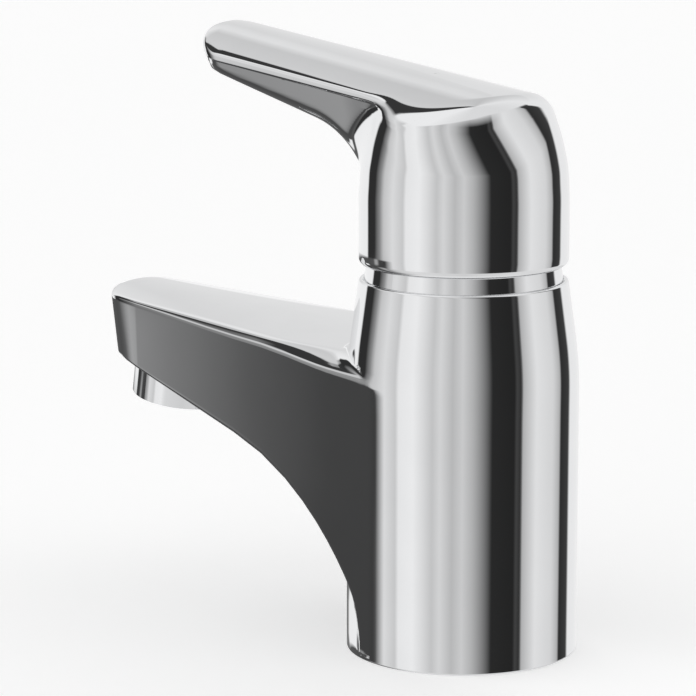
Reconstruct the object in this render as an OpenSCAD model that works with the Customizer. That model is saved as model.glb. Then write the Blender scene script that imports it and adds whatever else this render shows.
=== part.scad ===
// Single-lever basin mixer: cast body with fixed spout, ceramic cartridge, tilting lever cap, aerator.
// Millimetres. +Z up, base on z = 0, column axis on the Z axis, spout and lever point along -Y.

/* [Node] */
// Part to draw, or all

/* [Column] */
// Radius of the column at the base
column_r = 25; // [22:0.5:30]
// Height where the column starts to taper
taper_start_z = 57; // [50:0.5:62]
// Radius of the arc that leads into the taper
taper_arc_r = 85; // [60:5:120]
// Angle of the straight taper from vertical, degrees
taper_angle = 8.12; // [6:0.01:10]
// Height of the column's open top edge
lip_z = 81; // [78:0.5:86]
// Radius of the rounding on the top edge
lip_round_r = 0.35; // [0.2:0.05:0.4]

/* [Spout] */
// Distance from the column axis to the spout's tip
spout_length = 110; // [95:0.5:120]
// Half width of the spout where its sides leave the column
spout_root_half_w = 24.5; // [22:0.1:24.6]
// Half width of the spout at the start of its rounded end
spout_tip_half_w = 13; // [12.8:0.1:15]
// Radius of the spout's end corners in plan
spout_corner_r = 6.5; // [3:0.5:9]
// How far the end bulges between its corners
spout_end_bulge = 1.8; // [0:0.1:3]
// Height of the spout's top at the column axis, if it were carried back
spout_top_z = 64.2; // [62:0.1:66]
// Rise of the spout's top per millimetre towards the tip
spout_top_rise = 0.032; // [0:0.001:0.06]
// Radius of the crown across the spout's top
spout_crown_r = 60; // [45:1:90]
// Backward lean of the end face from top to bottom
spout_end_lean = 2.5; // [0:0.1:4]
// Rise of the straight underside per millimetre towards the tip
underside_rise = 0.215; // [0.15:0.005:0.26]
// Distance from the axis where the straight underside meets the arc
underside_arc_y = 52.3; // [45:0.1:60]
// Height of the underside at that point
underside_arc_z = 41.2; // [38:0.1:45]
// Radius of the concave underside arc
underside_arc_r = 72.7; // [65:0.1:80]

/* [Body inside] */
// Radius of the open space under the column for hoses and stud
cavity_r = 21; // [19:0.5:21.5]
// Height of the web above that space
web_z = 36; // [30:1:38]
// Height of the cartridge seat
seat_z = 57; // [55:0.5:58]
// Radius of the pocket round the cartridge
pocket_r = 14.3; // [14.2:0.05:14.5]
// Radius of the nut thread in the body
nut_thread_r = 16; // [15.5:0.1:16.5]
// Radius of the spherical mouth that the tilting neck ring swings in
mouth_sphere_r = 23.1; // [23:0.05:23.3]
// Radius of the stud's threaded hole, M8 tapping size
stud_hole_r = 3.4; // [3.3:0.05:3.5]
// Depth of the stud's threaded hole
stud_hole_depth = 9; // [7:0.5:10]
// Distance of the stud hole in front of the axis
stud_hole_y = 10; // [9:0.5:12]
// Radius of a hose inlet's threaded hole, M10 x 1 tapping size
hose_port_r = 4.5; // [4.4:0.05:4.6]
// Depth of a hose inlet's threaded hole
hose_port_depth = 11; // [9:0.5:12]
// Sideways distance of each hose inlet from the axis
hose_port_x = 7; // [6.5:0.1:8]
// Distance of the hose inlets behind the axis
hose_port_y = 6; // [4:0.5:8]
// Radius of the waterway along the spout
waterway_r = 3.5; // [3:0.1:4]

/* [Cartridge] */
// Height of the lever's pivot
pivot_z = 89; // [88:0.1:90]
// Lever angle at rest, degrees forward of upright
rest_tilt = 10; // [8:0.5:12]
// Outer radius of the cartridge housing
housing_r = 14; // [13.8:0.1:14]
// Outer radius of the housing's neck
neck_r = 12.2; // [12:0.1:12.3]
// Inner radius of the housing
housing_bore_r = 11; // [10.8:0.1:11.1]
// Height of the housing's shoulder under the nut
shoulder_z = 68; // [67:0.5:69]
// Height of the housing's top
housing_top_z = 86; // [85:0.5:86.5]
// Height of the cartridge nut's top
nut_top_z = 73.5; // [72:0.1:73.8]
// Sideways distance of each inlet port in the discs
port_x = 5.6; // [5.3:0.1:5.8]
// Distance of the inlet ports behind the axis
port_y = 3.4; // [3:0.1:3.8]
// Distance of the outlet port in front of the axis
outlet_y = 6.2; // [5.8:0.1:6.4]
// Distance from the pivot to the centre of the stem's ball end
ball_arm = 13; // [12:0.1:13.5]
// Radius of the stem's ball end
ball_r = 2.9; // [2.5:0.05:3]
// Radius of the moving disc and its carrier
carrier_r = 8.2; // [8:0.05:8.3]
// Radius of the pivot pin
pin_r = 1.5; // [1.2:0.05:1.6]
// Width of the square stem
stem_w = 6; // [5.6:0.1:6.2]

/* [Lever] */
// Height of the cap's lower rim
cap_rim_z = 84.2; // [84:0.1:84.6]
// Radius of the cap
cap_r = 22.5; // [22:0.1:22.6]
// Radius of the rounding under the cap's rim
rim_round_r = 1.5; // [1:0.1:1.8]
// Height where the cap starts to curve inwards
cap_arc_z = 97; // [95:0.5:99]
// Radius of that inward curve
cap_arc_r = 55; // [45:1:65]
// Height of the crowned top on the column axis
crown_z = 123.4; // [121:0.1:125]
// Rise of the crowned top per millimetre towards the lever's tip
crown_rise = 0.106; // [0.08:0.001:0.13]
// Radius of the crown across the top at the column axis
crown_r = 35.5; // [30:0.5:40]
// Radius of the crown across the top at the lever's tip
crown_tip_r = 24.5; // [23:0.5:28]
// Distance from the column axis to the lever's tip
lever_length = 75; // [70:0.5:80]
// Half width of the lever at the cap
lever_root_half_w = 16.5; // [15:0.1:17]
// Half width of the lever at the start of its rounded end
lever_tip_half_w = 14.7; // [13:0.1:16]
// Radius of the lever's end corners in plan
lever_corner_r = 10; // [8:0.5:12]
// How far the lever's end bulges between its corners
lever_end_bulge = 1.2; // [0:0.1:2]
// Height of the lever's underside at the tip
lever_under_z = 123.1; // [121:0.1:125]
// Rise of the lever's underside per millimetre towards the tip
lever_under_rise = 0.255; // [0.2:0.005:0.3]
// Radius of the concave blend from underside to cap
lever_blend_r = 18; // [12:0.5:20]
// Radius of the hollow inside the cap, about the pivot
cap_hollow_r = 20.4; // [20:0.1:20.6]

/* [Aerator] */
// Distance of the aerator in front of the column axis
aerator_y = 93.3; // [90:0.1:96]
// Height of the aerator's outlet
aerator_z = 42; // [40:0.1:45]
// Forward lean of the aerator, nearly square to the spout's underside
aerator_tilt = 9; // [0:0.5:12]
// Outer radius of the aerator housing, M24 size
aerator_r = 12; // [11.5:0.1:12]

/* [Hidden] */
$fn = 96;
chrome_colour = [0.80, 0.81, 0.83];
brass_colour = [0.78, 0.62, 0.33];
steel_colour = [0.62, 0.63, 0.65];
rubber_colour = [0.08, 0.08, 0.09];
ceramic_colour = [0.93, 0.92, 0.88];
plastic_colour = [0.86, 0.87, 0.88];
plug_colour = [0.25, 0.35, 0.70];

// Column taper
taper_arc_h = taper_arc_r * sin(taper_angle);
taper_arc_dr = taper_arc_r * (1 - cos(taper_angle));
taper_line_z = taper_start_z + taper_arc_h;
taper_line_r = column_r - taper_arc_dr;
lip_r = taper_line_r - (lip_z - taper_line_z) * tan(taper_angle);
taper_steps = 6;

// Underside arc
underside_angle = atan(underside_rise);
underside_centre_y = underside_arc_y + underside_arc_r * sin(underside_angle);
underside_centre_z = underside_arc_z - underside_arc_r * cos(underside_angle);
underside_end_angle = 180 - asin(-underside_centre_z / underside_arc_r);
underside_steps = 12;
underside_tip_y = spout_length - spout_end_lean;
underside_tip_z = underside_arc_z + (underside_tip_y - underside_arc_y) * underside_rise;

// Plan steps
corner_steps = 8;

// Mouth and nut seat
nut_seat_z = pivot_z - sqrt(mouth_sphere_r * mouth_sphere_r - nut_thread_r * nut_thread_r);
housing_gap = 0.3;
nut_bore_r = neck_r + housing_gap;
nut_r = nut_thread_r - 0.1;
nut_bottom_z = shoulder_z + 0.02;
nut_slots = 4;
nut_slot_w = 3;
nut_slot_depth = 2.5;

// Gasket groove
groove_in_r = 22;
groove_out_r = 24;
groove_depth = 1.8;
gasket_side_gap = 0.1;

// Cartridge stack
base_bottom_z = seat_z + 0.3;
base_top_z = 61;
base_r = housing_bore_r - 0.1;
seal_out_r = 4.3;
seal_in_r = 3.1;
seal_top_z = seat_z + 1.8;
seal_recess_r = seal_out_r + 0.1;
disc_gap = 0.05;
fixed_disc_top_z = 65.15;
fixed_disc_r = housing_bore_r - 0.2;
moving_disc_bottom_z = fixed_disc_top_z + disc_gap;
moving_disc_top_z = 69.2;
port_r = 2.6;
outlet_port_r = 2.9;
carrier_top_z = 78;
carrier_y = ball_arm * sin(rest_tilt);
socket_r = ball_r + 0.2;
socket_bottom_z = 72.6;
mixing_pocket_w = 13;
mixing_pocket_l = 10.5;
mixing_pocket_depth = 1.8;
seal_groove_r = 12.6;
seal_groove_z = 62;
seal_groove_h = 1.7;
housing_seal_r = 0.8;

// Turret
turret_bottom_z = carrier_top_z + 0.4;
turret_r = housing_bore_r - 0.25;
turret_step_z = 83.7;
turret_top_r = 9.2;
turret_top_z = 92;
neck_lip_r = turret_top_r + 0.25;
turret_slot_w = stem_w + 0.6;
turret_slot_l = 10.8;
pin_length = 17;
pin_hole_r = pin_r + 0.05;

// Stem, measured along itself from the pivot
stem_low = 9;
stem_high = 19;
stem_neck_r = 2.2;
stem_socket_w = stem_w + 0.1;
boss_low = 9;
boss_r = 7.5;
boss_high = 24;

// Cap and ring
cap_arc_steps = 8;
cap_arc_end_angle = 30;
cap_step_r = 21.2;
cap_step_z = 87.2;
ring_bottom_z = lip_z - 0.05;
ring_bottom_r = 21.3;
ring_top_r = 20.9;
ring_spigot_r = cap_step_r - 0.05;
lever_arc_y = cap_r - 0.1;
blend_centre_y = lever_arc_y + lever_blend_r;
lever_under_angle = atan(lever_under_rise);
function under_z(y) = lever_under_z - (lever_length - y) * lever_under_rise;
blend_centre_z = under_z(blend_centre_y) - lever_blend_r / cos(lever_under_angle);
blend_steps = 8;
sky_z = 150;

// Fixing screw and plug
screw_z = 103;
screw_r = 2.5;
screw_tip_y = 6;
screw_length = 6;
screw_socket_r = 1.45;
screw_socket_depth = 2.5;
screw_hole_r = screw_r + 0.1;
plug_r = 3.5;
plug_face_y = 23.7;
plug_depth = 4;
plug_hole_r = plug_r + 0.1;

// Aerator
aerator_bore_r = aerator_r + 0.1;
aerator_bore_top_z = 59;
aerator_top_z = 57.5;
aerator_inside_r = 10;
aerator_lip_r = 9.2;
aerator_lip_h = 2;
insert_r = aerator_inside_r - 0.1;
insert_bottom_z = aerator_z + 4.5;
insert_top_z = 56.5;
screen_bottom_z = aerator_z + aerator_lip_h;
screen_top_z = screen_bottom_z + 1;
chamber_r = 10;
chamber_top_z = 62;
aerator_seal_in_r = 10.1;
waterway_start_y = 3;
waterway_start_z = 50.5;
waterway_end_y = 90;
waterway_end_z = 60.8;
outlet_hole_r = 3.2;

function arc_pts(cx, cy, r, a0, a1, n) =
    [for (i = [0:n]) [cx + r * cos(a0 + (a1 - a0) * i / n), cy + r * sin(a0 + (a1 - a0) * i / n)]];

// Plan of a tongue: y runs from y0 to length, rounded end, drawn towards -Y
function tongue_half(root_w, tip_w, length, corner_r, bulge) =
    let (flat_y = length - bulge)
    let (centre_x = tip_w - corner_r)
    let (centre_y = flat_y - corner_r)
    concat([[root_w, 0]],
           [for (p = arc_pts(centre_x, centre_y, corner_r, 0, 82, corner_steps)) [p[0], -p[1]]],
           [for (f = [0.66, 0.33]) [centre_x * f, -(flat_y + bulge * (1 - f * f))]],
           [[0, -length]]);

function mirrored(points) = [for (i = [len(points) - 1:-1:0]) [-points[i][0], points[i][1]]];

module tongue_plan(root_w, tip_w, length, corner_r, bulge) {
    half = tongue_half(root_w, tip_w, length, corner_r, bulge);
    tail = mirrored([for (i = [0:len(half) - 2]) half[i]]);
    polygon(concat(half, tail));
}

// Extrudes a profile drawn in (distance forward, height) across X, centred
module across(half_width) {
    rotate([90, 0, 90])
        translate([0, 0, -half_width])
            linear_extrude(2 * half_width)
                mirror([1, 0])
                    children();
}

// Long cylinder under a rising line along -Y, its highest line at height z on the axis
module crown_cylinder(radius, z, rise, back, front) {
    translate([0, 0, z])
        rotate([90 - atan(rise), 0, 0])
            translate([0, -radius, -back])
                cylinder(r = radius, h = back + front);
}

// Long cone under a rising line along -Y, its highest line at height z on the axis, where its radius is r_axis
module crown_cone(r_axis, r_front, z, rise, back, front) {
    half_angle = atan((r_axis - r_front) / front);
    translate([0, 0, z])
        rotate([90 - atan(rise) - half_angle, 0, 0])
            translate([0, -r_axis, -back])
                cylinder(r1 = r_axis + back * tan(half_angle), r2 = r_front, h = back + front);
}

module ring(r_out, r_in, z0, z1) {
    difference() {
        translate([0, 0, z0]) cylinder(r = r_out, h = z1 - z0);
        translate([0, 0, z0 - 1]) cylinder(r = r_in, h = z1 - z0 + 2);
    }
}

module rod(r, z0, z1) {
    translate([0, 0, z0]) cylinder(r = r, h = z1 - z0);
}

// Turns its children about the lever's pivot to the rest angle
module at_rest_tilt() {
    translate([0, 0, pivot_z])
        rotate([rest_tilt, 0, 0])
            children();
}

module at_aerator() {
    translate([0, -aerator_y, aerator_z])
        rotate([-aerator_tilt, 0, 0])
            translate([0, 0, -aerator_z])
                children();
}

module column_solid() {
    arc = arc_pts(column_r - taper_arc_r, taper_start_z, taper_arc_r, 0, taper_angle, taper_steps);
    rotate_extrude()
        polygon(concat([[0, 0], [column_r, 0]],
                       arc,
                       [[lip_r + lip_round_r * 0.1, lip_z - lip_round_r],
                        [lip_r - lip_round_r, lip_z],
                        [0, lip_z]]));
}

module spout_solid() {
    intersection() {
        linear_extrude(sky_z)
            tongue_plan(spout_root_half_w, spout_tip_half_w, spout_length, spout_corner_r, spout_end_bulge);
        across(column_r)
            polygon(concat([[0, 0]],
                           [for (p = arc_pts(underside_centre_y, underside_centre_z, underside_arc_r,
                                             underside_end_angle, 90 + underside_angle, underside_steps)) p],
                           [[underside_tip_y, underside_tip_z],
                            [spout_length + spout_end_lean * 0.2, sky_z / 2],
                            [0, sky_z / 2]]));
        crown_cylinder(spout_crown_r, spout_top_z, spout_top_rise, 0, spout_length + 10);
    }
}

module body_hollows() {
    rod(cavity_r, -1, web_z);
    ring(groove_out_r, groove_in_r, -1, groove_depth);
    translate([0, 0, pivot_z]) sphere(r = mouth_sphere_r);
    rod(nut_thread_r, shoulder_z - 0.5, nut_seat_z + 1);
    rod(pocket_r, seat_z, shoulder_z);
    translate([0, -stud_hole_y, 0]) rod(stud_hole_r, web_z - 1, web_z + stud_hole_depth);
    for (side = [-1, 1]) {
        translate([side * hose_port_x, hose_port_y, 0])
            rod(hose_port_r, web_z - 1, web_z + hose_port_depth);
        translate([side * port_x, port_y, 0])
            rod(port_r, web_z + hose_port_depth - 2, seat_z + 1);
    }
    translate([0, -outlet_y, 0]) rod(outlet_hole_r, waterway_start_z, seat_z + 1);
    translate([0, -waterway_start_y, waterway_start_z])
        rotate([90 - atan((waterway_end_z - waterway_start_z) / (waterway_end_y - waterway_start_y)), 0, 0])
            cylinder(r = waterway_r, h = waterway_end_y - waterway_start_y);
    at_aerator() rod(aerator_bore_r, aerator_z - 5, aerator_bore_top_z);
    at_aerator() rod(chamber_r, aerator_bore_top_z - 1, chamber_top_z);
}

module faucet_body() {
    color(chrome_colour)
        difference() {
            union() {
                column_solid();
                spout_solid();
            }
            body_hollows();
        }
}

module base_gasket() {
    color(rubber_colour)
        ring(groove_out_r - gasket_side_gap, groove_in_r + gasket_side_gap, 0, groove_depth - gasket_side_gap);
}

module cartridge_nut() {
    color(brass_colour)
        difference() {
            ring(nut_r, nut_bore_r, nut_bottom_z, nut_top_z);
            for (i = [0:nut_slots - 1])
                rotate([0, 0, i * 360 / nut_slots + 45])
                    translate([nut_bore_r - 1, -nut_slot_w / 2, nut_top_z - nut_slot_depth])
                        cube([nut_r, nut_slot_w, nut_slot_depth + 1]);
        }
}

module cartridge_housing() {
    color(plastic_colour)
        difference() {
            union() {
                rod(housing_r, base_bottom_z, shoulder_z);
                rod(neck_r, shoulder_z - 1, housing_top_z);
            }
            rod(housing_bore_r, base_bottom_z - 1, turret_step_z + 0.3);
            rod(neck_lip_r, turret_step_z, housing_top_z + 1);
            ring(housing_r + 1, seal_groove_r, seal_groove_z, seal_groove_z + seal_groove_h);
        }
}

module port_holes(r_in, r_out, z0, z1) {
    for (side = [-1, 1])
        translate([side * port_x, port_y, 0]) rod(r_in, z0, z1);
    translate([0, -outlet_y, 0]) rod(r_out, z0, z1);
}

module cartridge_base() {
    color(plastic_colour)
        difference() {
            rod(base_r, base_bottom_z, base_top_z);
            port_holes(port_r, outlet_port_r, base_bottom_z - 1, base_top_z + 1);
            port_holes(seal_recess_r, seal_recess_r, base_bottom_z - 1, seal_top_z);
        }
}

module port_seal() {
    color(rubber_colour) ring(seal_out_r, seal_in_r, seat_z, seal_top_z);
}

module hot_inlet_seal() {
    translate([-port_x, port_y, 0]) port_seal();
}

module cold_inlet_seal() {
    translate([port_x, port_y, 0]) port_seal();
}

module outlet_seal() {
    translate([0, -outlet_y, 0]) port_seal();
}

module housing_seal() {
    color(rubber_colour)
        translate([0, 0, seal_groove_z + seal_groove_h / 2])
            rotate_extrude()
                translate([(pocket_r + seal_groove_r) / 2, 0])
                    circle(r = housing_seal_r);
}

module fixed_disc() {
    color(ceramic_colour)
        difference() {
            rod(fixed_disc_r, base_top_z, fixed_disc_top_z);
            port_holes(port_r, outlet_port_r, base_top_z - 1, fixed_disc_top_z + 1);
        }
}

module moving_disc() {
    color(ceramic_colour)
        difference() {
            translate([0, carrier_y, 0]) rod(carrier_r, moving_disc_bottom_z, moving_disc_top_z);
            translate([-mixing_pocket_w / 2, carrier_y - mixing_pocket_l / 2, moving_disc_bottom_z - 1])
                cube([mixing_pocket_w, mixing_pocket_l, mixing_pocket_depth + 1]);
        }
}

module disc_carrier() {
    color(plastic_colour)
        translate([0, carrier_y, 0])
            difference() {
                rod(carrier_r, moving_disc_top_z, carrier_top_z);
                rod(socket_r, socket_bottom_z, carrier_top_z + 1);
            }
}

module turret() {
    color(plastic_colour)
        difference() {
            union() {
                rod(turret_r, turret_bottom_z, turret_step_z);
                rod(turret_top_r, turret_step_z - 1, turret_top_z);
            }
            translate([-turret_slot_w / 2, -turret_slot_l / 2, turret_bottom_z - 1])
                cube([turret_slot_w, turret_slot_l, turret_top_z]);
            translate([-turret_r, 0, pivot_z])
                rotate([0, 90, 0])
                    cylinder(r = pin_r, h = 2 * turret_r);
        }
}

module pivot_pin() {
    color(steel_colour)
        translate([-pin_length / 2, 0, pivot_z])
            rotate([0, 90, 0])
                cylinder(r = pin_r, h = pin_length);
}

module lever_stem() {
    color(steel_colour)
        at_rest_tilt()
            difference() {
                union() {
                    translate([0, 0, -ball_arm]) sphere(r = ball_r);
                    rod(stem_neck_r, -ball_arm, -stem_low + 1);
                    translate([-stem_w / 2, -stem_w / 2, -stem_low])
                        cube([stem_w, stem_w, stem_low + stem_high]);
                }
                translate([-stem_w, 0, 0])
                    rotate([0, 90, 0])
                        cylinder(r = pin_hole_r, h = 2 * stem_w);
            }
}

module cap_solid() {
    rim = [for (p = arc_pts(cap_r - rim_round_r, cap_rim_z + rim_round_r, rim_round_r, -90, 0, 4)) p];
    wall = [for (p = arc_pts(cap_r - cap_arc_r, cap_arc_z, cap_arc_r, 0, cap_arc_end_angle, cap_arc_steps)) p];
    top_z = cap_arc_z + cap_arc_r * sin(cap_arc_end_angle);
    rotate_extrude()
        polygon(concat([[0, cap_rim_z]], rim, wall, [[0, top_z]]));
}

module tongue_solid() {
    intersection() {
        linear_extrude(sky_z)
            tongue_plan(lever_root_half_w, lever_tip_half_w, lever_length, lever_corner_r, lever_end_bulge);
        rotate_extrude()
            polygon(concat([[0, blend_centre_z]],
                           arc_pts(blend_centre_y, blend_centre_z, lever_blend_r, 180,
                                   90 + lever_under_angle, blend_steps),
                           [[lever_length - 1, under_z(lever_length - 1)],
                            [lever_length + 2, under_z(lever_length) + 3],
                            [lever_length + 2, sky_z],
                            [0, sky_z]]));
    }
}

module lever_handle() {
    color(chrome_colour)
        difference() {
            union() {
                difference() {
                    intersection() {
                        union() {
                            cap_solid();
                            tongue_solid();
                        }
                        crown_cone(crown_r, crown_tip_r, crown_z, crown_rise, cap_r + 10, lever_length + 3);
                    }
                    translate([0, 0, pivot_z]) sphere(r = cap_hollow_r);
                    rod(cap_step_r, cap_rim_z - 1, cap_step_z);
                }
                at_rest_tilt() rod(boss_r, boss_low, boss_high);
            }
            at_rest_tilt()
                translate([-stem_socket_w / 2, -stem_socket_w / 2, 0])
                    cube([stem_socket_w, stem_socket_w, stem_high + 0.3]);
            translate([0, 0, screw_z])
                rotate([90, 0, 0])
                    cylinder(r = screw_hole_r, h = cap_r + 5);
            translate([0, -(plug_face_y - plug_depth), screw_z])
                rotate([90, 0, 0])
                    cylinder(r = plug_hole_r, h = plug_depth + 10);
        }
}

module neck_ring() {
    color(chrome_colour)
        difference() {
            rotate_extrude()
                polygon([[0, ring_bottom_z],
                         [ring_bottom_r, ring_bottom_z],
                         [ring_top_r, cap_rim_z],
                         [ring_spigot_r, cap_rim_z],
                         [ring_spigot_r, cap_step_z],
                         [0, cap_step_z]]);
            translate([0, 0, pivot_z]) sphere(r = cap_hollow_r);
        }
}

module handle_set_screw() {
    color(steel_colour)
        translate([0, -screw_tip_y, screw_z])
            rotate([90, 0, 0])
                difference() {
                    cylinder(r = screw_r, h = screw_length);
                    translate([0, 0, screw_length - screw_socket_depth])
                        cylinder(r = screw_socket_r, h = screw_socket_depth + 1, $fn = 6);
                }
}

module index_plug() {
    color(plug_colour)
        translate([0, -(plug_face_y - plug_depth), screw_z])
            rotate([90, 0, 0])
                cylinder(r = plug_r, h = plug_depth);
}

module aerator_housing() {
    color(chrome_colour)
        at_aerator()
            difference() {
                rod(aerator_r, aerator_z, aerator_top_z);
                rod(aerator_inside_r, aerator_z + aerator_lip_h, aerator_top_z + 1);
                rod(aerator_lip_r, aerator_z - 1, aerator_z + aerator_lip_h + 1);
            }
}

module aerator_insert() {
    color(plastic_colour)
        at_aerator()
            difference() {
                rod(insert_r, insert_bottom_z, insert_top_z);
                for (i = [0:11])
                    rotate([0, 0, i * 30])
                        translate([7, 0, 0]) rod(1.1, insert_bottom_z - 1, insert_top_z + 1);
                for (i = [0:5])
                    rotate([0, 0, i * 60])
                        translate([3.5, 0, 0]) rod(1.1, insert_bottom_z - 1, insert_top_z + 1);
            }
}

module aerator_screen() {
    hole_pitch = 3.2;
    color(steel_colour)
        at_aerator()
            difference() {
                rod(insert_r, screen_bottom_z, screen_top_z);
                for (ix = [-2:2])
                    for (iy = [-2:2])
                        if (ix * ix + iy * iy < 6)
                            translate([ix * hole_pitch - 1, iy * hole_pitch - 1, screen_bottom_z - 1])
                                cube([2, 2, 3]);
            }
}

module aerator_seal() {
    color(rubber_colour)
        at_aerator()
            ring(aerator_r - 0.1, aerator_seal_in_r, aerator_top_z, aerator_bore_top_z);
}

faucet_body();
base_gasket();
cartridge_nut();
cartridge_housing();
cartridge_base();
hot_inlet_seal();
cold_inlet_seal();
outlet_seal();
housing_seal();
fixed_disc();
moving_disc();
disc_carrier();
turret();
pivot_pin();
lever_stem();
lever_handle();
neck_ring();
handle_set_screw();
index_plug();
aerator_housing();
aerator_insert();
aerator_screen();
aerator_seal();
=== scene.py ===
import math

import bpy
import bmesh
import numpy as np
from mathutils import Matrix, Vector


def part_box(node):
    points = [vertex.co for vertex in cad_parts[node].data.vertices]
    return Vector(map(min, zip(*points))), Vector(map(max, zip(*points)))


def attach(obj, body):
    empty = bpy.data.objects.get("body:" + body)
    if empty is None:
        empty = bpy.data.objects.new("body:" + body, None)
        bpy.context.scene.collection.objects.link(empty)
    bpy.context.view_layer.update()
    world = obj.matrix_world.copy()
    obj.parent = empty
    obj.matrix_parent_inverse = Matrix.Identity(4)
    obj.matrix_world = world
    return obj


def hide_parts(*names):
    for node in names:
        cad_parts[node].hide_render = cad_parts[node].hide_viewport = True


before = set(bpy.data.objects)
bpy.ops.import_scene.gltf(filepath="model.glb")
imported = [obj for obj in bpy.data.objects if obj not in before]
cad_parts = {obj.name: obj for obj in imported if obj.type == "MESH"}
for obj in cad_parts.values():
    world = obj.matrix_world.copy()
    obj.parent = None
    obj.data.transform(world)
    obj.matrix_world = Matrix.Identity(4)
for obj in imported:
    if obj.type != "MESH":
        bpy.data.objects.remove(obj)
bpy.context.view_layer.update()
MM = 0.001


# ---------------------------------------------------------------- surfaces as signed distances, millimetres
def round_and(a, b, r):
    """Intersection of two distances with a rounded outer edge."""
    u, v = np.maximum(a + r, 0), np.maximum(b + r, 0)
    return np.minimum(np.maximum(a, b), -r) + np.sqrt(u * u + v * v)


def round_or(a, b, r):
    """Union of two distances with a fillet in the inner corner."""
    u, v = np.maximum(r - a, 0), np.maximum(r - b, 0)
    return np.maximum(np.minimum(a, b), r) - np.sqrt(u * u + v * v)


def smooth(x):
    x = np.clip(x, 0, 1)
    return x * x * (3 - 2 * x)


def to_surface(distance, points, steps=12):
    """Moves points along the gradient until they lie on distance = 0."""
    p = np.array(points, float)
    h = 1e-3
    for _ in range(steps):
        d = distance(p)
        g = np.stack([distance(p + h * e) - distance(p - h * e) for e in np.eye(3)], 1) / (2 * h)
        g /= np.maximum((g * g).sum(1, keepdims=True), 0.2)
        p -= np.clip(d, -1.5, 1.5)[:, None] * g
    return p


class Mesh:
    """Collects points in millimetres and faces, then makes one object in metres."""

    def __init__(self):
        self.points, self.faces, self.count = [], [], 0

    def add(self, grid):
        """Adds a grid of points, shape (rows, columns, 3), and returns their numbers."""
        grid = np.asarray(grid, float)
        n = grid.shape[0] * grid.shape[1]
        ids = np.arange(self.count, self.count + n).reshape(grid.shape[:2])
        self.points.append(grid.reshape(-1, 3))
        self.count += n
        return ids

    def quads(self, ids, closed=False):
        """Faces between neighbouring numbers of a grid; closed joins the last column to the first."""
        if closed:
            ids = np.concatenate([ids, ids[:, :1]], 1)
        a, b, c, d = ids[:-1, :-1], ids[1:, :-1], ids[1:, 1:], ids[:-1, 1:]
        self.faces += np.stack([a, b, c, d], -1).reshape(-1, 4).tolist()

    def build(self, name, merge=1e-6):
        p = np.concatenate(self.points)
        mesh = bpy.data.meshes.new(name)
        mesh.from_pydata((p * MM).tolist(), [], self.faces)
        bm = bmesh.new()
        bm.from_mesh(mesh)
        bmesh.ops.remove_doubles(bm, verts=bm.verts, dist=merge)
        bmesh.ops.dissolve_degenerate(bm, edges=bm.edges, dist=merge)
        bmesh.ops.recalc_face_normals(bm, faces=bm.faces)
        bm.to_mesh(mesh)
        bm.free()
        mesh.shade_smooth()
        obj = bpy.data.objects.new(name, mesh)
        bpy.context.scene.collection.objects.link(obj)
        return obj


# ---------------------------------------------------------------- body: column and spout
COLUMN_R, TAPER_Z, TAPER_R, TAPER_ANGLE = 25.0, 57.0, 85.0, math.radians(8.12)
LIP_Z, LIP_ROUND = 81.0, 0.5
TAPER_LINE_Z = TAPER_Z + TAPER_R * math.sin(TAPER_ANGLE)
TAPER_LINE_R = COLUMN_R - TAPER_R * (1 - math.cos(TAPER_ANGLE))
SIDE_SLOPE = 0.1147
SIDE_ANGLE = math.atan(SIDE_SLOPE)
SIDE_HALF_W = COLUMN_R / math.cos(SIDE_ANGLE)
SPOUT_END, END_BULGE, END_LEAN, CORNER_R = 109.4, 1.8, 2.5, 6.5
UNDER_S, UNDER_Z, UNDER_RISE, UNDER_R = 52.3, 41.2, 0.215, 72.7
UNDER_ANGLE = math.atan(UNDER_RISE)
HEEL_S, HEEL_FAR_S, HEEL_DROP, HEEL_Z = 6.66, 10.5, 9.3, 0.8
ARC_S = UNDER_S + UNDER_R * math.sin(UNDER_ANGLE)
ARC_Z = UNDER_Z - UNDER_R * math.cos(UNDER_ANGLE)
TANGENT = math.pi / 2 - SIDE_ANGLE
ROOT_FILLET = 2.5
# where the end face takes its upper edge from the spout's top
END_TOP_S = 109.6
# spherical mouth, nut seat and cartridge pocket inside the column
MOUTH_R, MOUTH_CENTRE_Z = 23.1, 89
SEAT_R, SEAT_Z, SEAT_FLOOR_Z = 16, 72.34, 67.5
POCKET_R, POCKET_FLOOR_Z = 14.3, 57


def column_radius(z):
    arc = COLUMN_R - TAPER_R + np.sqrt(np.maximum(TAPER_R**2 - np.maximum(z - TAPER_Z, 0) ** 2, 0))
    line = TAPER_LINE_R - (z - TAPER_LINE_Z) * math.tan(TAPER_ANGLE)
    return np.where(z < TAPER_LINE_Z, arc, line)


def half_width(s):
    return SIDE_HALF_W - SIDE_SLOPE * s


def shoulder(s):
    """Width of the sloping band between the spout's top face and its side."""
    return 0.35 + 1.25 * smooth((108 - s) / 62) + 2.6 * smooth((40 - s) / 24)


def shoulder_drop(s):
    return 0.35 + 1.25 * smooth((108 - s) / 62) + 1.2 * smooth((44 - s) / 28)


def edge_z(s):
    return 64.3 + 0.0135 * s


def top_z(s, t):
    middle, edge = 64.2 + 0.032 * s, edge_z(s)
    return middle - (middle - edge) * (t / np.maximum(half_width(s) - shoulder(s), 5)) ** 2


def under_z(s):
    line = UNDER_Z + (s - UNDER_S) * UNDER_RISE
    arc = ARC_Z + np.sqrt(np.maximum(UNDER_R**2 - (s - ARC_S) ** 2, 0))
    near = np.clip((HEEL_FAR_S - s) / (HEEL_FAR_S - HEEL_S), 0, 1)
    arc = arc - HEEL_DROP * (1 - np.sqrt(1 - near**2.3))
    return np.where(s > UNDER_S, line, np.where(s > HEEL_S, arc, HEEL_Z))


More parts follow.
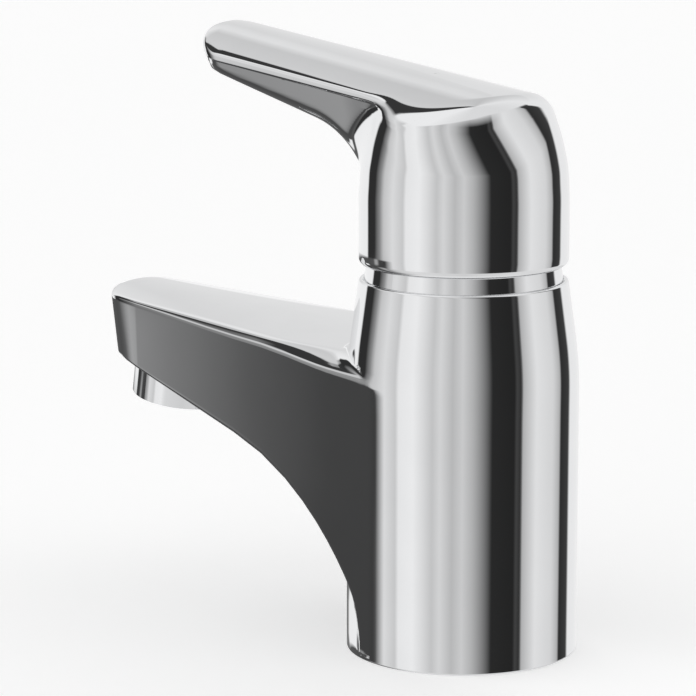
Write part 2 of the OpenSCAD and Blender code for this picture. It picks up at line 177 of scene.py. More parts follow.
def lean(z):
    return END_LEAN * np.clip((66 - z) / 13, 0, 1.5)


def end_s(t, z):
    return SPOUT_END - END_BULGE * np.minimum(t / 13, 1.2) ** 2 - lean(z)


def body_distance(p):
    t, s, z = np.abs(p[:, 0]), -p[:, 1], p[:, 2]
    column = round_and(np.hypot(t, s) - column_radius(z), z - LIP_Z, LIP_ROUND)
    plan = round_and((t - half_width(s)) * math.cos(SIDE_ANGLE), s - end_s(t, z), CORNER_R)
    band = shoulder(s)
    top = top_z(s, np.minimum(t, half_width(s) - band))
    steep = shoulder_drop(s) / band
    slope = ((plan + band) * steep + z - top) / np.sqrt(1 + steep * steep)
    spout = round_and(z - top_z(s, t), slope, 0.2 + 0.35 * band)
    spout = round_and(spout, plan, 0.2)
    steep = (under_z(s + 0.02) - under_z(s - 0.02)) / 0.04
    under = (under_z(s) - z) / np.sqrt(1 + steep * steep)
    spout = round_and(spout, under, 0.35)
    spout = np.maximum(spout, COLUMN_R * math.sin(SIDE_ANGLE) - s)
    turn = np.degrees(np.arctan2(t, s))
    fillet = 0.01 + ROOT_FILLET * smooth((80 - turn) / 35)
    return round_and(round_or(column, spout, fillet), -z, 0.3)


def lerp(a, b, f):
    return a + (b - a) * f


def make_body():
    n_top, n_band, n_back, n_low, n_high = 20, 9, 44, 5, 14
    side_f = np.array([0, 0.012, 0.03, 0.06, 0.12, 0.2, 0.3, 0.4, 0.5, 0.6, 0.7, 0.8, 0.88, 0.94, 0.97, 0.988, 1])
    n_side = len(side_f) - 1
    first = math.radians(55)
    turn = np.concatenate([np.linspace(0, first, n_top + 1), np.linspace(first, TANGENT, n_band + 1)[1:]])
    turn = np.concatenate([-turn[:0:-1], turn])
    n_front = len(turn)
    back = np.linspace(TANGENT, 2 * math.pi - TANGENT, n_back + 2)[1:-1]
    around = np.concatenate([turn, back])
    at = np.abs(turn)
    # the loop where the spout leaves the column
    root_s, root_t = 24.4 * np.cos(at), 24.4 * np.sin(at)
    corner_s = COLUMN_R * math.sin(SIDE_ANGLE)
    band, drop = shoulder(root_s), shoulder_drop(root_s)
    on_band = edge_z(root_s) - drop * (root_t - half_width(root_s) + band) / band
    surface = np.minimum(top_z(root_s, np.minimum(root_t, half_width(root_s) - band)), on_band)
    side_top = edge_z(corner_s) - shoulder_drop(corner_s)
    surface[[0, -1]] = side_top
    ease = smooth((80 - np.degrees(at)) / 35)
    root_top = surface + 3.1 * ease
    root_low = under_z(COLUMN_R * np.cos(at)) - 1.7 * ease
    low_corner = float(root_low[-1])

    def circle(angle, z):
        angle, z = np.broadcast_arrays(angle, z)
        r = column_radius(z)
        return np.stack([r * np.sin(angle), -r * np.cos(angle), z], -1)

    m = Mesh()
    rise = np.linspace(0, 1, n_high + 1)[:, None]
    high_front = circle(turn[None], lerp(root_top[None], 80.1, rise))
    high_back = circle(back[None], lerp(side_top, 80.1, rise))
    mid_back = circle(back[None], lerp(side_top, low_corner, side_f[:, None]))
    fall = np.linspace(0, 1, n_low + 1)[:, None]
    low_front = circle(turn[None], lerp(root_low[None], 0.3, fall))
    low_back = circle(back[None], lerp(low_corner, 0.3, fall) + 0 * back[None])
    high = m.add(to_surface(body_distance, np.concatenate([high_front, high_back], 1).reshape(-1, 3))
                 .reshape(n_high + 1, -1, 3))
    m.quads(high, closed=True)
    low = m.add(to_surface(body_distance, np.concatenate([low_front, low_back], 1).reshape(-1, 3))
                .reshape(n_low + 1, -1, 3))
    m.quads(low, closed=True)
    mid = m.add(mid_back)
    side_right = np.array([[corner_s, z] for z in lerp(side_top, low_corner, side_f)])
    right = m.add(np.array([[[COLUMN_R * math.cos(SIDE_ANGLE), -s, z] for s, z in side_right[1:-1]]]))[0]
    left = m.add(np.array([[[-COLUMN_R * math.cos(SIDE_ANGLE), -s, z] for s, z in side_right[1:-1]]]))[0]
    right = np.concatenate([[high[0, n_front - 1]], right, [low[0, n_front - 1]]])
    left = np.concatenate([[high[0, 0]], left, [low[0, 0]]])
    mid[0], mid[-1] = high[0, n_front:], low[0, n_front:]
    m.quads(np.concatenate([right[:, None], mid, left[:, None]], 1))

    # loops along the spout: top from left to right, right side down, underside right to left, left side up
    sin_first = math.sin(first)
    top_share = np.sin(np.minimum(at, first)) / sin_first
    band_share = np.clip((at - first) / (TANGENT - first), 0, 1)
    low_share = np.sin(at) / math.sin(TANGENT)
    sign = np.sign(turn)
    along = np.array([0.7, 1.4, 2.1, 2.7, 2.95, 3.05, 3.2, 3.45, 3.8, 4.3, 5, 6, 7.5, 9.5, 12, 15, 19, 24, 31, 39, 47, 55,
                      63, 70, 75.5]) / 77
    last_s = 102.0
    centre_s, centre_t = 102.9, half_width(102.9) - CORNER_R / math.cos(SIDE_ANGLE)
    stations = [("line", a) for a in along] + [("turn", math.radians(a)) for a in (6.5, 17, 29, 41, 53, 65, 76, 84)]

    def loop(kind, value):
        def shape(s_start):
            if kind == "line":
                s = lerp(s_start, last_s, value)
                return s, half_width(s)
            s = centre_s + CORNER_R * math.sin(value) + 0 * s_start
            return s, centre_t + CORNER_R * math.cos(value) + 0 * s

        def leaned(s, z):
            return s - lean(z) * smooth((s - 88) / 16)

        s, w = shape(root_s)
        b, drop = np.minimum(shoulder(s), 0.5 * w), shoulder_drop(s)
        t = np.where(band_share > 0, w - b + b * band_share, top_share * (w - b))
        z = np.where(band_share > 0, edge_z(s) - drop * band_share, top_z(s, t * half_width(s) / w))
        clear = np.maximum(1 - (s - root_s) / 3.4, 0) ** 2.5
        top = np.stack([sign * t, -leaned(s, z), z + 3.1 * ease * clear], -1)
        s2, w2 = shape(COLUMN_R * np.cos(at))
        z2 = under_z(s2)
        clear = np.maximum(1 - (s2 - COLUMN_R * np.cos(at)) / 2.6, 0) ** 2.5
        low_row = np.stack([sign * low_share * w2, -leaned(s2, z2), z2 - 1.7 * ease * clear], -1)
        s3, w3 = shape(np.full(n_side - 1, corner_s))
        z3 = lerp(edge_z(s3) - shoulder_drop(s3), under_z(s3), side_f[1:-1])
        side = np.stack([w3, -leaned(s3, z3), z3], -1)
        other = side * [-1, 1, 1]
        return np.concatenate([top, side, low_row[::-1], other[::-1]])

    root = np.concatenate([high[0, :n_front], right[1:-1], low[0, :n_front][::-1], left[1:-1][::-1]])
    guess = np.stack([loop(*st) for st in stations])
    rows = m.add(to_surface(body_distance, guess.reshape(-1, 3), 20).reshape(guess.shape))
    rows = np.concatenate([root[None], rows])
    m.quads(rows, closed=True)
    # the end face, row by row between the last loop's top and underside
    end = rows[-1]
    points = np.concatenate(m.points)
    e_top, e_low = end[:n_front], end[n_front + n_side - 1:2 * n_front + n_side - 1][::-1]
    e_right, e_left = end[n_front:n_front + n_side - 1], end[2 * n_front + n_side - 1:][::-1]
    grid = np.zeros((n_side + 1, n_front), int)
    grid[0], grid[-1] = e_top, e_low
    grid[1:-1, -1], grid[1:-1, 0] = e_right, e_left
    inner = np.zeros((n_side - 1, n_front - 2, 3))
    for row in range(1, n_side):
        x = lerp(points[e_top[1:-1], 0], points[e_low[1:-1], 0], side_f[row])
        high_z = top_z(END_TOP_S, np.abs(x)) - 0.42
        z = lerp(high_z, points[e_low[1:-1], 2] + 0.15, (row - 2) / (n_side - 3))
        s = end_s(np.abs(x), z)
        if row == 1:
            z, s = high_z + 0.22, s - 0.2
        inner[row - 1] = np.stack([x, -s, z], -1)
    grid[1:-1, 1:-1] = m.add(to_surface(body_distance, inner.reshape(-1, 3)).reshape(inner.shape))
    m.quads(grid)

    # rings above the column: rounded lip, spherical mouth, nut seat and cartridge pocket
    lip_r = column_radius(LIP_Z - LIP_ROUND) - LIP_ROUND / math.cos(TAPER_ANGLE)
    lip = [(lip_r + LIP_ROUND * math.cos(a), LIP_Z - LIP_ROUND + LIP_ROUND * math.sin(a))
           for a in np.linspace(TAPER_ANGLE, math.pi / 2, 6)]
    mouth_z = np.array([80.93, 80.6, 80, 79, 78, 77, 76, 75, 74, 73, SEAT_Z])
    mouth = [(math.sqrt(MOUTH_R**2 - (MOUTH_CENTRE_Z - z) ** 2), z) for z in mouth_z]
    inside = [(mouth[0][0] + 0.06, LIP_Z)] + mouth
    inside += [(SEAT_R, SEAT_Z), (SEAT_R, SEAT_FLOOR_Z), (POCKET_R, SEAT_FLOOR_Z), (POCKET_R, POCKET_FLOOR_Z),
               (7, POCKET_FLOOR_Z), (0, POCKET_FLOOR_Z)]

    def rings(profile):
        return np.array([[[r * math.sin(a), -r * math.cos(a), z] for a in around] for r, z in profile])

    upper = m.add(rings(lip + inside))
    m.quads(np.concatenate([high[-1:], upper]), closed=True)
    # underneath: rounded edge, gasket groove and the hollow base
    bottom = [(24.91, 0.09), (24.7, 0), (24, 0), (24, 1.8), (22, 1.8), (22, 0), (21, 0), (21, 18), (21, 36), (12, 36),
              (0, 36)]
    m.quads(np.concatenate([low[-1:], m.add(rings(bottom))]), closed=True)
    return m.build("body_shell")


# ---------------------------------------------------------------- lever: cap and tongue
CAP_LOW_Z, CAP_R, CAP_ARC_Z, CAP_ARC_R, CAP_RIM_ROUND = 84.2, 22.5, 97.0, 55.0, 1.5
TONGUE_L, TONGUE_ROOT_W, TONGUE_TIP_W, TONGUE_CORNER, TONGUE_BULGE = 75.0, 16.5, 14.7, 10.0, 1.2
TOP_Z, TOP_RISE, TOP_ROOT_R, TOP_TIP_R = 123.4, 0.106, 35.5, 24.5
BEAD_H, BEAD_INSET, FLANK_LEAN, FLANK_ROUND = 1.5, 0.3, 0.3, 3.0
BELLY_Z, BELLY_RISE, BELLY_R = 123.1, 0.255, 18.0
BELLY_ANGLE = math.atan(BELLY_RISE)
BELLY_ARC_R, BELLY_ARC_Z = 40.4, 95.7
HOLLOW_R, HOLLOW_Z = 20.4, 89.0
# the tongue starts this far in front of the axis; below WALL_Z the cap is round, down to its rounded rim
TONGUE_START_S, WALL_Z, RIM_Z = 3, 98.0, 85.7


def cap_radius(z):
    return CAP_R - CAP_ARC_R + np.sqrt(np.maximum(CAP_ARC_R**2 - np.maximum(z - CAP_ARC_Z, 0) ** 2, 1))


def tongue_half_w(s):
    return TONGUE_ROOT_W + (TONGUE_TIP_W - TONGUE_ROOT_W) * s / TONGUE_L


def lever_top(s, t):
    r = TOP_ROOT_R + (TOP_TIP_R - TOP_ROOT_R) * s / TONGUE_L
    return TOP_Z + TOP_RISE * s - r + np.sqrt(np.maximum(r * r - t * t, 1))


def tongue_plan(s, t):
    """Distance from the tongue's outline seen from above, and the nearest outline point."""
    a, b = t - tongue_half_w(s), s - TONGUE_L + TONGUE_BULGE * (t / TONGUE_TIP_W) ** 2
    d = round_and(a, b, TONGUE_CORNER)
    u, v = np.maximum(a + TONGUE_CORNER, 1e-9), np.maximum(b + TONGUE_CORNER, 0)
    n = np.hypot(u, v)
    return d, s - d * v / n, t - d * u / n


def blend_min(a, b, width):
    """Union of two distances that melt into each other where they differ by less than the width."""
    h = np.maximum(width - np.abs(a - b), 0) / width
    return np.minimum(a, b) - h * h * width / 4


def neck_width(z):
    """How far the cap stands out beside the tongue's root at each height."""
    full = np.clip(cap_radius(z) - TONGUE_ROOT_W + 0.4 + FLANK_LEAN * np.maximum(118 - z, 0), 2.5, 12)
    return lerp(1.0, full, smooth((z - 97) / 15))


def lever_distance(p):
    t, s, z = np.abs(p[:, 0]), -p[:, 1], p[:, 2]
    r = np.hypot(t, s)
    plan, edge_s, edge_t = tongue_plan(s, t)
    rim_z = lever_top(edge_s, edge_t)
    below = rim_z - BEAD_H - z
    inset = BEAD_INSET * smooth((s - 8) / 14)
    bead = np.maximum(plan, below)
    flank = plan + inset + FLANK_LEAN * np.maximum(below + 0.3, 0)
    side = round_or(bead, flank, 0.25)
    arc = BELLY_R - np.hypot(r - BELLY_ARC_R, z - BELLY_ARC_Z)
    line = (BELLY_Z - BELLY_RISE * (TONGUE_L - r) - z) * math.cos(BELLY_ANGLE)
    on_arc = (r - BELLY_ARC_R) + BELLY_RISE * (z - BELLY_ARC_Z) < 0
    under = np.maximum(np.where(on_arc, arc, line), BELLY_ARC_Z - z)
    wall = r - cap_radius(z)
    neck = blend_min(np.maximum(side, TONGUE_START_S - s), wall, neck_width(z))
    under_round = lerp(FLANK_ROUND, 1.0, smooth((s - 25) / 50))
    side = blend_min(round_and(neck, under, under_round), wall, 0.8)
    rim_round = 2.2 - 1.3 * smooth((s - 2) / 14)
    solid = round_and(side, 0.98 * (z - lever_top(s, t)), rim_round)
    return round_and(solid, CAP_LOW_Z - z, CAP_RIM_ROUND)


def lever_radius(angle, z):
    """How far the lever's side reaches from the axis, for each angle and height."""
    angle, z = np.broadcast_arrays(angle, z)
    low_r, high_r = np.full(angle.shape, 8.0), np.full(angle.shape, 90.0)
    for _ in range(34):
        r = (low_r + high_r) / 2
        p = np.stack([r * np.sin(angle), -r * np.cos(angle), z], -1).reshape(-1, 3)
        outside = lever_distance(p).reshape(r.shape) > 0
        low_r, high_r = np.where(outside, low_r, r), np.where(outside, r, high_r)
    return low_r


def belly_reach(z):
    """Radius of the tongue's underside at each height."""
    line = TONGUE_L - (BELLY_Z - z) / BELLY_RISE
    arc = BELLY_ARC_R - np.sqrt(np.maximum(BELLY_R**2 - (z - BELLY_ARC_Z) ** 2, 0))
    return np.where(z - BELLY_ARC_Z > BELLY_R * math.cos(BELLY_ANGLE), line, arc)


def make_lever():
    # the outline seen from above, as even steps along its length
    fine = np.linspace(0, math.pi, 3001)
    low_r, high_r = np.full(fine.shape, 8.0), np.full(fine.shape, 90.0)
    for _ in range(40):
        r = (low_r + high_r) / 2
        s, t = r * np.cos(fine), r * np.sin(fine)
        outside = blend_min(np.maximum(tongue_plan(s, t)[0], TONGUE_START_S - s), r - 18.1, 2.5) > 0
        low_r, high_r = np.where(outside, low_r, r), np.where(outside, r, high_r)
    s, t = r * np.cos(fine), r * np.sin(fine)
    length = np.concatenate([[0], np.cumsum(np.hypot(np.diff(s), np.diff(t)))])
    half = np.interp(np.linspace(0, length[-1], 121), length, fine)
    angle = np.concatenate([-half[:0:-1], half[:-1]])
    r = np.interp(np.abs(angle), fine, r)
    s, t = r * np.cos(angle), r * np.sin(angle)
    on_tongue = smooth((s - 4) / 10)[None]
    n = len(angle)

    m = Mesh()
    # top face: rings between a spine and the edge
    spine = np.clip(s, -6, 63)
    share = np.array([0, 0.12, 0.26, 0.4, 0.54, 0.67, 0.78, 0.87, 0.94])[:, None]
    edge_in = lerp(0.86, 0.955, on_tongue)
    ring_s, ring_t = spine + (s * edge_in - spine) * share / 0.94, t * edge_in * share / 0.94
    top = np.stack([ring_t, -ring_s, lever_top(ring_s, np.abs(ring_t))], -1)
    # rounded edge and bead, as (inward, down) steps
    tongue_steps = np.array([(.8, 0), (.5, .1), (.25, .3), (.08, .55), (0, .85), (0, 1.3), (.06, 1.5), (.25, 1.7),
                             (.34, 2)])
    cap_steps = np.array([(1.9, 0), (1.3, .2), (.8, .5), (.45, .9), (.2, 1.4), (.06, 1.9), (0, 2.3), (0, 2.7),
                          (0, 3.1)])
    rim_z = lever_top(s, np.abs(t))[None]
    steps = lerp(cap_steps[:, None, :], tongue_steps[:, None, :], on_tongue[..., None])
    pull = 1 - steps[..., 0] / r[None]
    edge = np.stack([t * pull, -s * pull, rim_z - steps[..., 1]], -1)
    upper = to_surface(lever_distance, np.concatenate([top, edge]).reshape(-1, 3), 20).reshape(-1, n, 3)
    # below: along each direction the side is a single curve, cut where the flank ends and where the wall begins
    start_z = upper[-1, :, 2]
    levels = lerp(start_z[None], WALL_Z, np.linspace(0, 1, 261)[:, None])
    reach = lever_radius(angle[None], levels)
    core = np.maximum(cap_radius(levels), belly_reach(levels))
    has_flank = reach > core + 1.2
    cut = np.array([levels[np.nonzero(has_flank[:, i])[0][-1], i] if has_flank[:, i].any() else 0
                    for i in range(n)])
    flank_z = np.where(cut > 0, cut, start_z) - 0.4
    flank_z = np.minimum(flank_z, start_z - 1.5)
    for _ in range(12):
        flank_z = (np.roll(flank_z, 1) + flank_z + np.roll(flank_z, -1)) / 3
    low_rows, rows = 26, []
    flank_f = np.array([0.06, 0.15, 0.28, 0.42, 0.56, 0.7, 0.82, 0.91, 1])[:, None]
    rows.append(lerp(start_z[None], flank_z[None], flank_f))
    walk = np.zeros((low_rows, n))
    for i in range(n):
        z = np.linspace(flank_z[i], WALL_Z, 200)
        path = np.interp(-z, -levels[:, i], reach[:, i])
        step = np.concatenate([[0], np.cumsum(np.hypot(np.diff(path), np.diff(z)))])
        walk[:, i] = np.interp(np.linspace(0, step[-1], low_rows + 1)[1:], step, z)
    rows.append(walk)
    rows.append(lerp(WALL_Z, RIM_Z, np.linspace(0, 1, 9)[1:, None]) + 0 * start_z[None])
    level = np.concatenate(rows)
    reach = lever_radius(angle[None], level)
    side = np.stack([reach * np.sin(angle), -reach * np.cos(angle), level], -1)
    lower = to_surface(lever_distance, side.reshape(-1, 3)).reshape(side.shape)
    profile = [(21.0 + 1.5 * math.cos(a), RIM_Z - 1.5 * math.sin(a)) for a in np.linspace(0, math.pi / 2, 6)[1:]]
    hollow_low = math.sqrt(HOLLOW_R**2 - (HOLLOW_Z - CAP_LOW_Z) ** 2)
    profile += [(HOLLOW_R * math.sin(a), HOLLOW_Z + HOLLOW_R * math.cos(a))
                for a in np.linspace(math.pi - math.asin(hollow_low / HOLLOW_R), 0, 22)]
    inner = np.stack([[[q * math.sin(a), -q * math.cos(a), z] for a in angle] for q, z in profile])
    m.quads(m.add(np.concatenate([upper, lower, inner])), closed=True)
    return m.build("lever_shell")


# the cutter for the plug's seat, metres
CUTTER_L, SEAT_DEPTH = 0.012, 0.008


def drill(thing, plug_box, gap):
    """Cuts the round seat of the index plug into the front of the cap, a gap wider than the plug."""
    low, high = [np.array(side) for side in plug_box]
    mesh = bpy.data.meshes.new("seat_cutter")
    bm = bmesh.new()
    radius = (high[0] - low[0]) / 2 + gap * MM
    bmesh.ops.create_cone(bm, cap_ends=True, segments=64, radius1=radius, radius2=radius, depth=CUTTER_L)
    place = Matrix.Translation((0, low[1] + CUTTER_L / 2 - SEAT_DEPTH, (low[2] + high[2]) / 2))
    bm.transform(place @ Matrix.Rotation(math.pi / 2, 4, "X"))
    bm.to_mesh(mesh)
    bm.free()
    cutter = bpy.data.objects.new("seat_cutter", mesh)
    bpy.context.scene.collection.objects.link(cutter)
    cut = thing.modifiers.new("seat", "BOOLEAN")
    cut.object = cutter
    cut.solver = "EXACT"
    seen = thing.evaluated_get(bpy.context.evaluated_depsgraph_get())
    done = bpy.data.meshes.new_from_object(seen)
    thing.modifiers.clear()
    thing.data = done
    done.set_sharp_from_angle(angle=math.radians(45))
    bpy.data.objects.remove(cutter)


# ---------------------------------------------------------------- materials
def material(name, base, metallic, roughness, grain, bump, spread=0.03, coat=0.0):
    """A procedural finish: noise varies the colour and roughness a little and gives a fine relief."""
    m = bpy.data.materials.new(name)
    m.use_nodes = True
    nodes, links = m.node_tree.nodes, m.node_tree.links
    shader = nodes["Principled BSDF"]
    shader.inputs["Metallic"].default_value = metallic
    shader.inputs["Coat Weight"].default_value = coat
    place = nodes.new("ShaderNodeTexCoord")
    noise = nodes.new("ShaderNodeTexNoise")
    noise.inputs["Scale"].default_value = grain
    noise.inputs["Detail"].default_value = 6.0
    links.new(place.outputs["Object"], noise.inputs["Vector"])
    colour = nodes.new("ShaderNodeMix")
    colour.data_type = "RGBA"
    colour.inputs[6].default_value = (*[c * (1 - spread) for c in base], 1)
    colour.inputs[7].default_value = (*[min(c * (1 + spread), 1) for c in base], 1)
    links.new(noise.outputs["Fac"], colour.inputs[0])
    links.new(colour.outputs[2], shader.inputs["Base Color"])
    rough = nodes.new("ShaderNodeMapRange")
    rough.inputs["To Min"].default_value = roughness * 0.8
    rough.inputs["To Max"].default_value = roughness * 1.25
    links.new(noise.outputs["Fac"], rough.inputs["Value"])
    links.new(rough.outputs["Result"], shader.inputs["Roughness"])
    if bump:
        relief = nodes.new("ShaderNodeBump")
        relief.inputs["Strength"].default_value = 1.0
        relief.inputs["Distance"].default_value = bump
        links.new(noise.outputs["Fac"], relief.inputs["Height"])
        links.new(relief.outputs["Normal"], shader.inputs["Normal"])
    return m


# base colour, metallic, roughness, grain scale, relief in metres, then colour spread and coat where they differ
FINISHES = {
    "body_chrome": ((0.86, 0.865, 0.875), 1.0, 0.035, 90.0, 0.0),
    "lever_chrome": ((0.86, 0.865, 0.875), 1.0, 0.035, 90.0, 0.0),
    "ring_chrome": ((0.86, 0.865, 0.875), 1.0, 0.04, 90.0, 0.0),
    "aerator_chrome": ((0.86, 0.865, 0.875), 1.0, 0.05, 120.0, 0.0),
    "gasket_rubber": ((0.025, 0.025, 0.027), 0.0, 0.6, 900.0, 3e-5, 0.3),
    "seal_rubber": ((0.02, 0.02, 0.022), 0.0, 0.5, 1200.0, 2e-5, 0.3),
    "nut_brass": ((0.78, 0.57, 0.27), 1.0, 0.25, 500.0, 1e-5, 0.06),
    "stem_brass": ((0.8, 0.6, 0.3), 1.0, 0.22, 500.0, 1e-5, 0.06),
    "cartridge_plastic": ((0.75, 0.76, 0.76), 0.0, 0.4, 800.0, 1e-5, 0.04),
    "carrier_plastic": ((0.16, 0.3, 0.5), 0.0, 0.38, 800.0, 1e-5, 0.06),
    "disc_ceramic": ((0.86, 0.84, 0.8), 0.0, 0.16, 2500.0, 2e-6, 0.04, 0.3),
    "pin_steel": ((0.6, 0.6, 0.62), 1.0, 0.28, 900.0, 1e-5, 0.06),
    "screen_steel": ((0.55, 0.55, 0.57), 1.0, 0.3, 900.0, 1e-5, 0.08),
    "aerator_plastic": ((0.82, 0.83, 0.84), 0.0, 0.35, 900.0, 1e-5, 0.04),
    "plug_plastic": ((0.55, 0.56, 0.58), 0.0, 0.3, 900.0, 5e-6, 0.05),
}
NODE_FINISH = {
    "faucet_body": "body_chrome", "base_gasket": "gasket_rubber", "cartridge_nut": "nut_brass",
    "cartridge_housing": "cartridge_plastic", "cartridge_base": "cartridge_plastic",
    "disc_carrier": "carrier_plastic", "turret": "carrier_plastic", "pivot_pin": "pin_steel",
    "handle_set_screw": "pin_steel", "lever_stem": "stem_brass", "lever_handle": "lever_chrome",
    "neck_ring": "ring_chrome", "index_plug": "plug_plastic", "aerator_housing": "aerator_chrome",
    "aerator_insert": "aerator_plastic", "aerator_screen": "screen_steel",
}
finishes = {name: material(name, *values) for name, values in FINISHES.items()}


def finish_of(node):
    if node in NODE_FINISH:
        return NODE_FINISH[node]
    return "disc_ceramic" if "disc" in node else "seal_rubber"


def add_index_marks(m):
    """A red half and a blue half with a plain strip between them, for hot and cold."""
    nodes, links = m.node_tree.nodes, m.node_tree.links
    place = nodes.new("ShaderNodeTexCoord")
    split = nodes.new("ShaderNodeSeparateXYZ")
    links.new(place.outputs["Object"], split.inputs[0])
    span = nodes.new("ShaderNodeMapRange")
    span.inputs["From Min"].default_value = -0.004
    span.inputs["From Max"].default_value = 0.004
    links.new(split.outputs["X"], span.inputs["Value"])
    colour = nodes.new("ShaderNodeValToRGB")
    colour.color_ramp.interpolation = "CONSTANT"
    stops = colour.color_ramp.elements
    stops[0].color = (0.55, 0.02, 0.02, 1)
    stops[1].position, stops[1].color = 0.4, (0.62, 0.63, 0.65, 1)
    blue = stops.new(0.6)
    blue.color = (0.02, 0.07, 0.5, 1)
    links.new(span.outputs["Result"], colour.inputs[0])
    links.new(colour.outputs[0], nodes["Principled BSDF"].inputs["Base Color"])


add_index_marks(finishes["plug_plastic"])
for node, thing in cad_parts.items():
    thing.data.materials.clear()
    thing.data.materials.append(finishes[finish_of(node)])


# ---------------------------------------------------------------- floor, room light and camera
def make_floor():
    mesh = bpy.data.meshes.new("floor")
    bm = bmesh.new()
    bmesh.ops.create_grid(bm, x_segments=2, y_segments=2, size=3.0)
    bm.to_mesh(mesh)
    bm.free()
    thing = bpy.data.objects.new("floor", mesh)
    bpy.context.scene.collection.objects.link(thing)
    paint = material("floor_paint", (0.95, 0.95, 0.95), 0.0, 0.9, 3.0, 0.0, 0.004)
    shader = paint.node_tree.nodes["Principled BSDF"]
    shader.inputs["Emission Color"].default_value = (1, 1, 1, 1)
    shader.inputs["Emission Strength"].default_value = 0.3
    thing.data.materials.append(paint)
    thing.visible_glossy = False
    return thing


VIEW_AZIMUTH = 45.0
# brightness of the room around the object, as (degrees from the camera's side, level), one curve for each zone of
# height from the floor up; SIDE_ROOM is the middle part that four of them share
FLOOR_ROOM = [(-180, 0.5), (-168, 0.15), (-152, 0.1), (-116, 0.07), (-108, 0.3), (-102, 0.42), (-97, 0.25), (-90, 0.6),
              (-60, 0.8), (0, 0.7), (90, 0.8), (180, 0.7)]
SIDE_ROOM = [(-84, 0.8), (-70, 0.65), (-66, 0.9), (-50, 0.95), (-40, 0.8), (-30, 0.62), (-22, 0.75), (-10, 0.55),
             (0, 0.68), (10, 0.5), (18, 0.3), (29, 0.025), (52, 0.02), (55, 0.06), (60, 0.03), (62, 0.5), (78, 0.85),
             (100, 0.75), (111, 0.5), (114, 0.03), (129, 0.05), (133, 0.9), (180, 0.9)]
DOWN_ROOM = [(-180, 0.5), (-168, 0.15), (-160, 0.2), (-154, 0.9), (-131, 0.95), (-128, 0.08), (-99, 0.05),
             (-96, 0.08)] + SIDE_ROOM
SPOUT_ROOM = [(-180, 0.5), (-168, 0.12), (-128, 0.08), (-117, 0.1), (-113, 0.4), (-109.5, 0.36), (-107.7, 0.14),
              (-105.8, 0.06), (-96, 0.05)] + SIDE_ROOM
LEVEL_ROOM = [(-180, 0.95), (-131, 0.95), (-128, 0.03), (-114, 0.03), (-104, 0.3), (-98, 0.62)] + SIDE_ROOM
BEHIND_ROOM = [(-180, 0.8), (-160, 0.75), (-140, 0.9)] + LEVEL_ROOM[1:-1] + [(155, 0.9), (180, 0.8)]
UP_ROOM = [(-180, 0.6), (-150, 0.7), (-144, 0.68), (-142, 0.04), (-116, 0.04), (-113, 0.95), (-60, 0.95), (0, 0.8),
           (60, 0.8), (120, 0.9), (180, 0.62)]
# camera: focal length in millimetres, place in metres, downward pitch and sideways pan in degrees
LENS = 171.9
CAMERA_AT = (0.4963, 0.4963, 0.1997)
PITCH, PAN = 10.81, 2.02


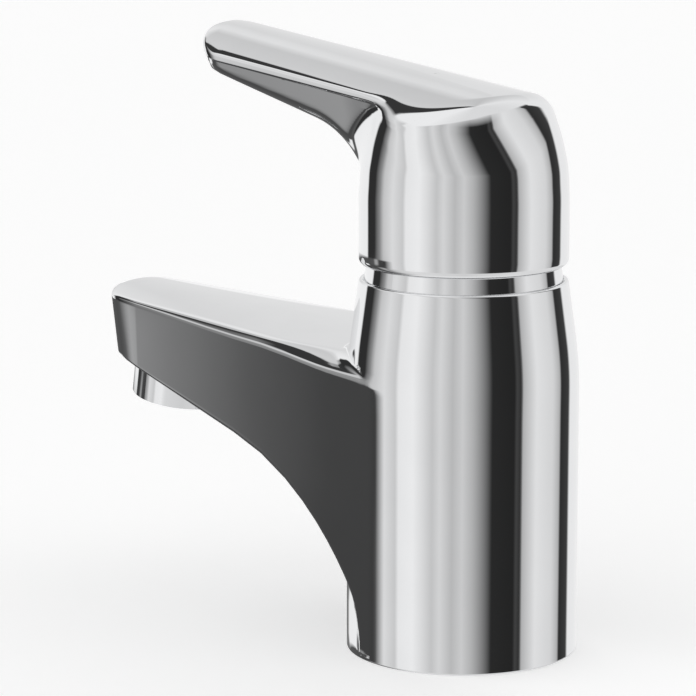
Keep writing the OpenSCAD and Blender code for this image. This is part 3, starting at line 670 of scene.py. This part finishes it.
def room_light():
    world = bpy.data.worlds.new("room")
    bpy.context.scene.world = world
    world.use_nodes = True
    nodes, links = world.node_tree.nodes, world.node_tree.links
    nodes.clear()

    def maths(kind, a, b=None, clamp=False):
        n = nodes.new("ShaderNodeMath")
        n.operation = kind
        n.use_clamp = clamp
        for i, v in enumerate((a, b)):
            if v is None:
                continue
            if isinstance(v, (int, float)):
                n.inputs[i].default_value = v
            else:
                links.new(v, n.inputs[i])
        return n.outputs[0]

    def ramp(value, stops):
        """A brightness curve over -180 to 180 degrees. One ramp holds at most 32 stops."""
        n = nodes.new("ShaderNodeValToRGB")
        links.new(value, n.inputs[0])
        e = n.color_ramp.elements
        for i, (angle, level) in enumerate(stops):
            at = (angle + 180) / 360
            stop = e[i] if i < 2 else e.new(at)
            stop.position = at
            stop.color = (level, level, level, 1)
        return n.outputs[0]

    place = nodes.new("ShaderNodeTexCoord")
    split = nodes.new("ShaderNodeSeparateXYZ")
    links.new(place.outputs["Generated"], split.inputs[0])
    x, y, z = split.outputs
    c, s = math.cos(math.radians(VIEW_AZIMUTH)), math.sin(math.radians(VIEW_AZIMUTH))
    toward = maths("ADD", maths("MULTIPLY", x, c), maths("MULTIPLY", y, s))
    right = maths("SUBTRACT", maths("MULTIPLY", y, c), maths("MULTIPLY", x, s))
    height = maths("DEGREES", maths("ARCSINE", z))

    def above(level, width):
        return maths("DIVIDE", maths("SUBTRACT", height, level), width, True)

    bend = maths("MULTIPLY", above(10, 20), 22 / 360)
    beta = maths("ADD", maths("DIVIDE", maths("ARCTAN2", right, toward), 2 * math.pi), 0.5)
    light = ramp(beta, [(-180, 0.85), (180, 0.85)])
    zones = ((FLOOR_ROOM, -62, 8), (DOWN_ROOM, -20, 2), (SPOUT_ROOM, -14.5, 1.5), (LEVEL_ROOM, -10.4, 1.2),
             (BEHIND_ROOM, 3, 2), (UP_ROOM, 33, 5))
    for stops, level, width in zones:
        mix = nodes.new("ShaderNodeMix")
        mix.data_type = "RGBA"
        links.new(above(level, width), mix.inputs[0])
        links.new(light, mix.inputs[6])
        links.new(ramp(maths("ADD", beta, bend) if stops is BEHIND_ROOM else beta, stops), mix.inputs[7])
        light = mix.outputs[2]
    sky = nodes.new("ShaderNodeBackground")
    links.new(light, sky.inputs[0])
    sky.inputs[1].default_value = 1.0
    plain = nodes.new("ShaderNodeBackground")
    plain.inputs[0].default_value = (1, 1, 1, 1)
    plain.inputs[1].default_value = 1.0
    ray = nodes.new("ShaderNodeLightPath")
    choose = nodes.new("ShaderNodeMixShader")
    links.new(ray.outputs["Is Camera Ray"], choose.inputs[0])
    links.new(sky.outputs[0], choose.inputs[1])
    links.new(plain.outputs[0], choose.inputs[2])
    out = nodes.new("ShaderNodeOutputWorld")
    links.new(choose.outputs[0], out.inputs[0])


def make_camera():
    data = bpy.data.cameras.new("camera")
    thing = bpy.data.objects.new("camera", data)
    bpy.context.scene.collection.objects.link(thing)
    bpy.context.scene.camera = thing
    data.sensor_width = 36.0
    data.lens = LENS
    data.clip_start = 0.05
    thing.location = CAMERA_AT
    pitch, azimuth = math.radians(PITCH), math.radians(VIEW_AZIMUTH) + math.radians(PAN)
    away = Vector((-math.cos(azimuth), -math.sin(azimuth), 0))
    away = away * math.cos(pitch) - Vector((0, 0, math.sin(pitch)))
    thing.rotation_euler = away.to_track_quat("-Z", "Y").to_euler()


floor = make_floor()
room_light()
make_camera()
bpy.context.scene.view_settings.view_transform = "Standard"

body = make_body()
body.data.materials.append(finishes["body_chrome"])
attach(body, "base")
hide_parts("faucet_body")

lever = make_lever()
drill(lever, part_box("index_plug"), 0.1)
lever.data.materials.append(finishes["lever_chrome"])
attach(lever, "lever")
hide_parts("lever_handle")
